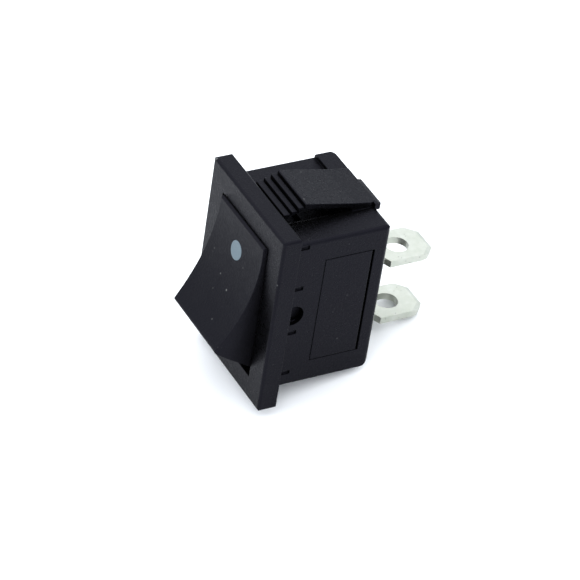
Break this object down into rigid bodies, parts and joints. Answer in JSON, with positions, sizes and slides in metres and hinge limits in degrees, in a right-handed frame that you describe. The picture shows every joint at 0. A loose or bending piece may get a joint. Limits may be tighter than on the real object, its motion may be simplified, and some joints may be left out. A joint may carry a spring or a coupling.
{
  "type": "panel rocker switch",
  "caption": "Snap-in panel rocker switch: concave rocker in a rectangular bezel, toothed latches on the body's short ends, and flat blade terminals with wiring holes behind.",
  "frame": {"origin": "centre of the plane where the bezel's back face seats on the panel, on the rocker's middle", "axes": "+X along the bezel's width and the rocker's pivot, +Y from the front face through the panel towards the terminals, +Z along the bezel's length, towards the end of the rocker that is pressed in"},
  "size_m": [0.0154, 0.0261, 0.0222],
  "materials": {
    "black_nylon": "fine matte texture",
    "rocker_nylon": "fine matte texture",
    "tin_plate": "dull tin plating",
    "acetal": "smooth",
    "spring_steel": "drawn wire",
    "copper_alloy": "rolled strip",
    "contact_silver": "smooth"
  },
  "bodies": {
    "switch_body": {"housing": "black_nylon", "base": "black_nylon", "common_terminal": "tin_plate", "end_terminal": "tin_plate", "fixed_contact": "contact_silver"},
    "rocker": {"rocker": "rocker_nylon", "plunger_spring": "spring_steel"},
    "plunger": {"plunger": "acetal"},
    "contact_lever": {"contact_lever": "copper_alloy", "moving_contact": "contact_silver"}
  },
  "joints": [
    {"name": "rocker_hinge", "type": "hinge", "parent": "switch_body", "child": "rocker", "pos_m": [0, 0.0015, 0], "axis": [1, 0, 0], "range_deg": [0, 36]},
    {"name": "plunger_slide", "type": "slide", "parent": "rocker", "child": "plunger", "axis": [0, 0.9511, -0.309], "range_m": [0, 0.00045], "stiffness_N_per_m": 250, "springref_m": 0.003},
    {"name": "contact_lever_hinge", "type": "hinge", "parent": "switch_body", "child": "contact_lever", "pos_m": [0, 0.0079, 0], "axis": [1, 0, 0], "range_deg": [-16, 0]}
  ],
  "couplings": [
    {"joint": "contact_lever_hinge", "follows": "rocker_hinge", "ratio": -0.44444}
  ]
}
